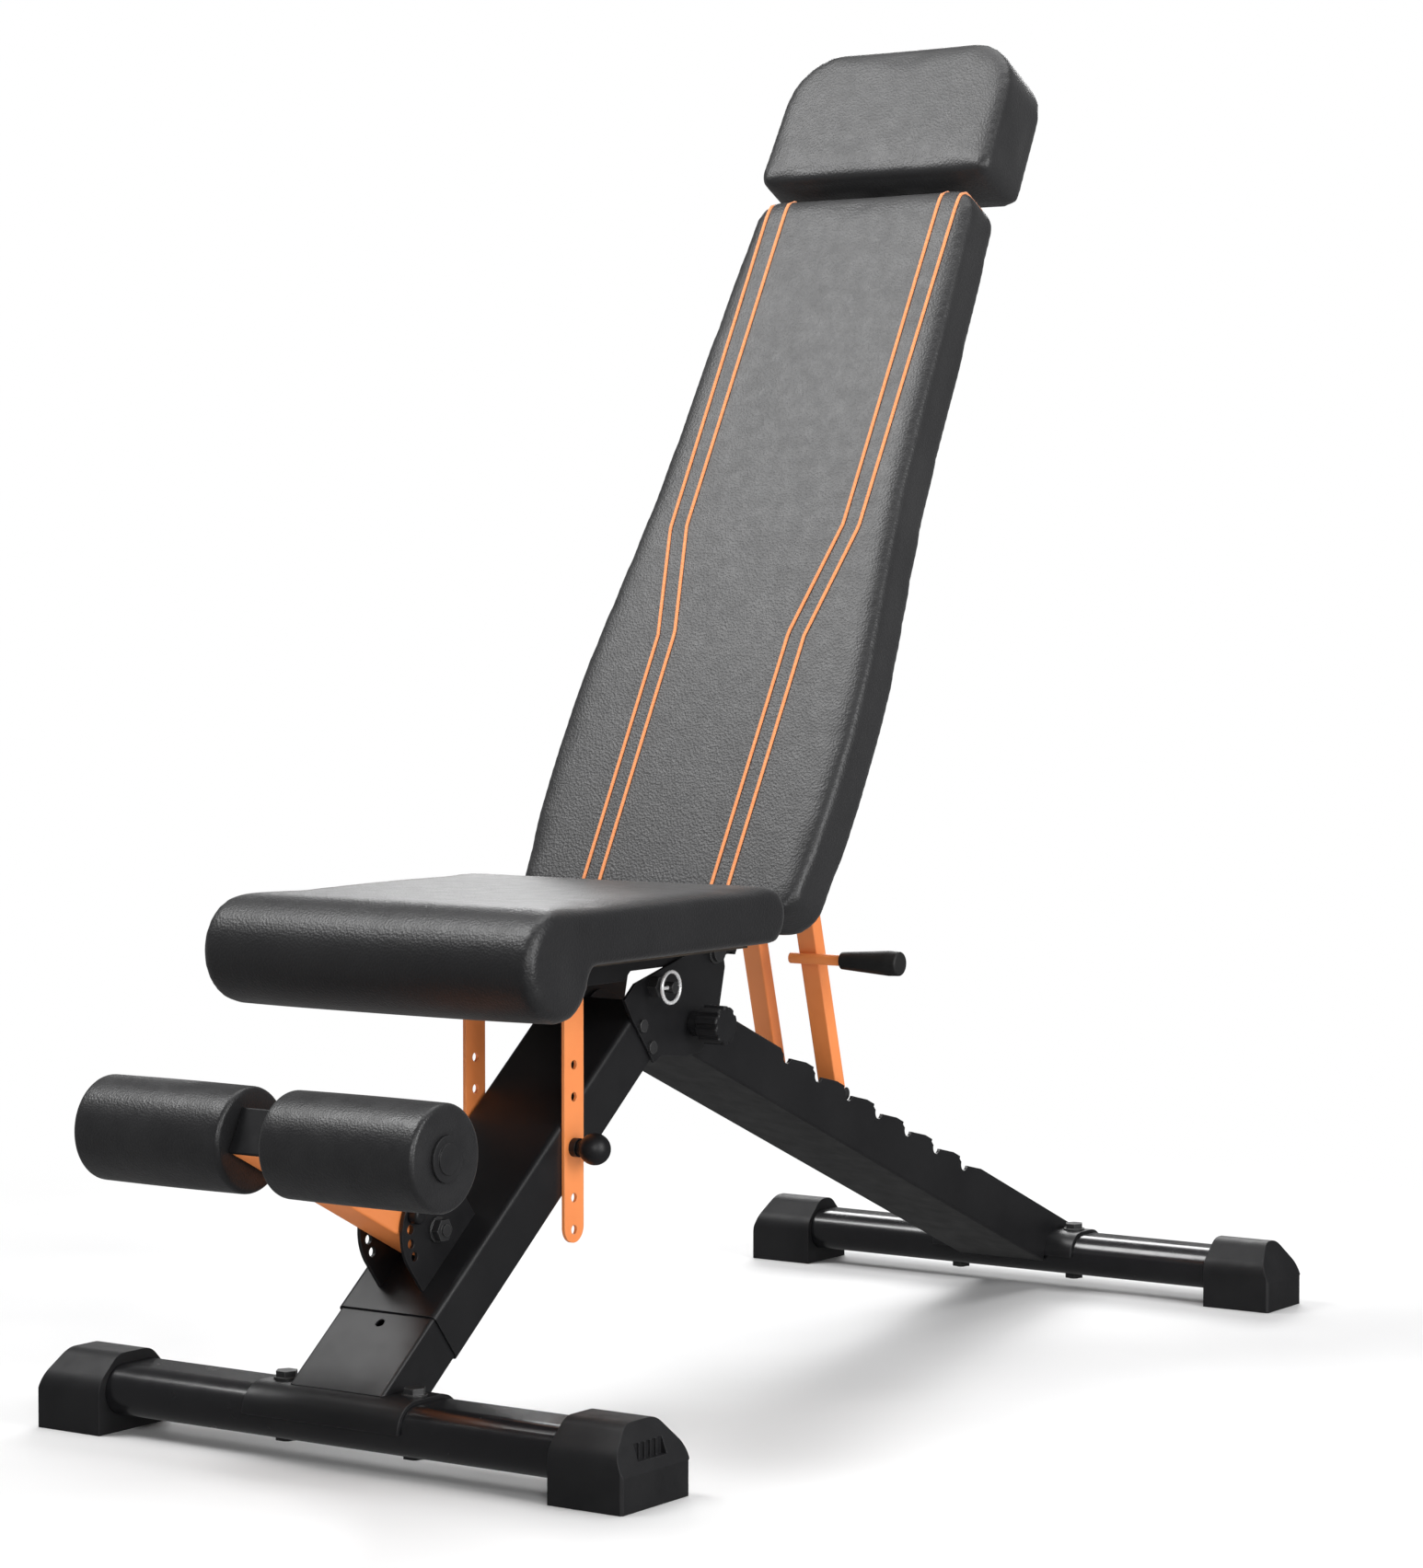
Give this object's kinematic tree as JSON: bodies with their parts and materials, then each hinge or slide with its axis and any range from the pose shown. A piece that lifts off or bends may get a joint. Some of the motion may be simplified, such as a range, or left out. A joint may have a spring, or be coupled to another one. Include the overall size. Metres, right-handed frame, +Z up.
{
  "type": "decline sit up bench",
  "caption": "Folding sit-up bench: padded seat, reclining back pad on a notched rear leg with a swinging orange prop, head pad, and foam foot rollers on a tilting arm.",
  "frame": {"origin": "on the floor at the centre of the bounding box's footprint", "axes": "+X is the width and lies across the mirror plane, -Y is the foot-roller end, +Y the backrest end, +Z is up"},
  "size_m": [0.6, 1.2353, 1.2217],
  "materials": {
    "frame_black": "semi-gloss black powder coat",
    "base_black": "gloss black paint",
    "accent_orange": "orange powder coat",
    "bolt_steel": "bright plated fasteners",
    "ring_chrome": "polished chrome",
    "rod_steel": "bright zinc plated rod",
    "foot_black": "moulded satin black plastic",
    "knob_black": "moulded black plastic",
    "grip_black": "soft black grip",
    "foam_black": "closed-cell black foam",
    "plug_black": "moulded black plug",
    "seat_leather": "pebbled black synthetic leather",
    "back_leather": "pebbled black synthetic leather with orange piping",
    "head_leather": "pebbled black synthetic leather",
    "board": "dark stained plywood"
  },
  "bodies": {
    "frame": {"front_base_tube": "base_black", "front_foot_left": "foot_black", "front_foot_right": "foot_black", "front_saddle": "frame_black", "front_base_bolts": "bolt_steel", "front_leg_lower": "frame_black", "front_leg_upper": "frame_black", "frame_screws": "bolt_steel", "arm_quadrant_left": "frame_black", "arm_quadrant_right": "frame_black", "arm_pivot_bolt": "bolt_steel", "head_plate_left": "frame_black", "head_plate_right": "frame_black", "rear_leg_pivot_bolt": "bolt_steel", "main_hinge_bolt": "bolt_steel", "pull_pin_housing": "bolt_steel"},
    "rear_leg": {"rear_leg_channel": "frame_black", "rear_base_tube": "base_black", "rear_foot_left": "foot_black", "rear_foot_right": "foot_black", "rear_saddle": "frame_black", "rear_base_bolts": "bolt_steel"},
    "leg_knob": {"rear_leg_knob": "knob_black"},
    "pull_pin_body": {"pull_pin": "bolt_steel"},
    "ring": {"pull_ring": "ring_chrome"},
    "arm_pin": {"arm_lock_pin": "knob_black"},
    "roller_arm": {"arm_tube": "accent_orange", "arm_end_cap": "knob_black", "roller_axle": "rod_steel"},
    "roller_left": {"foam_roller_left": "foam_black", "roller_plug_left": "plug_black"},
    "roller_right": {"foam_roller_right": "foam_black", "roller_plug_right": "plug_black"},
    "seat": {"seat_rail_left": "frame_black", "seat_rail_right": "frame_black", "seat_cross_plate": "frame_black", "seat_board": "board", "seat_cushion": "seat_leather", "seat_screws": "bolt_steel"},
    "seat_bars": {"seat_bar_left": "accent_orange", "seat_bar_right": "accent_orange", "seat_bar_shaft": "bolt_steel", "seat_lock_bushing": "knob_black"},
    "seat_knob": {"seat_lock_knob": "knob_black"},
    "backrest": {"backrest_rail_left": "frame_black", "backrest_rail_right": "frame_black", "backrest_cross_plates": "frame_black", "back_board": "board", "back_cushion": "back_leather", "back_screws": "bolt_steel", "prop_pivot_bolt": "bolt_steel"},
    "head_rest": {"head_post_frame": "frame_black", "head_board": "board", "head_cushion": "head_leather"},
    "prop": {"prop_tube_left": "accent_orange", "prop_tube_right": "accent_orange", "prop_cross_rod": "rod_steel", "prop_handle_rod": "accent_orange", "prop_handle_grip": "grip_black"}
  },
  "joints": [
    {"name": "rear_leg_fold", "type": "hinge", "parent": "frame", "child": "rear_leg", "pos_m": [0, -0.0717, 0.3197], "axis": [1, 0, 0], "range_deg": [-95, 0]},
    {"name": "rear_leg_knob_turn", "type": "hinge", "parent": "frame", "child": "leg_knob", "pos_m": [0, -0.0717, 0.3197], "axis": [1, 0, 0], "range_deg": [-360, 0]},
    {"name": "pull_pin_pull", "type": "slide", "parent": "frame", "child": "pull_pin_body", "axis": [1, 0, 0], "range_m": [0, 0.008], "stiffness_N_per_m": 600, "springref_m": -0.004},
    {"name": "pull_ring_swing", "type": "hinge", "parent": "pull_pin_body", "child": "ring", "pos_m": [0.071, -0.133, 0.357], "axis": [0, 1, 0], "range_deg": [-35, 35]},
    {"name": "leg_arm_tilt", "type": "hinge", "parent": "frame", "child": "roller_arm", "pos_m": [0, -0.3985, 0.1774], "axis": [1, 0, 0], "range_deg": [0, 60]},
    {"name": "arm_lock_pin_pull", "type": "slide", "parent": "frame", "child": "arm_pin", "axis": [1, 0, 0], "range_m": [0, 0.008], "stiffness_N_per_m": 500, "springref_m": -0.004},
    {"name": "roller_left_spin", "type": "hinge", "parent": "roller_arm", "child": "roller_left", "pos_m": [0, -0.575, 0.266], "axis": [1, 0, 0], "continuous": true},
    {"name": "roller_right_spin", "type": "hinge", "parent": "roller_arm", "child": "roller_right", "pos_m": [0, -0.575, 0.266], "axis": [1, 0, 0], "continuous": true},
    {"name": "seat_tilt", "type": "hinge", "parent": "frame", "child": "seat", "pos_m": [0, -0.04, 0.38], "axis": [1, 0, 0], "range_deg": [-11.6, 11.6]},
    {"name": "seat_bar_swing", "type": "hinge", "parent": "seat", "child": "seat_bars", "pos_m": [0, -0.25, 0.376], "axis": [1, 0, 0], "range_deg": [-12, 12]},
    {"name": "seat_lock_knob_pull", "type": "slide", "parent": "seat_bars", "child": "seat_knob", "axis": [1, 0, 0], "range_m": [0, 0.008], "stiffness_N_per_m": 500, "springref_m": -0.004},
    {"name": "backrest_tilt", "type": "hinge", "parent": "frame", "child": "backrest", "pos_m": [0, -0.04, 0.38], "axis": [1, 0, 0], "range_deg": [-53.5, 25.4]},
    {"name": "prop_swing", "type": "hinge", "parent": "backrest", "child": "prop", "pos_m": [0, 0.10898, 0.52575], "axis": [1, 0, 0], "range_deg": [-40, 83.5]},
    {"name": "head_pad_height", "type": "slide", "parent": "backrest", "child": "head_rest", "axis": [0, 0.4796, 0.8775], "range_m": [0, 0.05]}
  ],
  "couplings": [
    {"joint": "prop_swing", "follows": "backrest_tilt", "ratio": -1.55},
    {"joint": "seat_bar_swing", "follows": "seat_tilt", "ratio": -1}
  ]
}
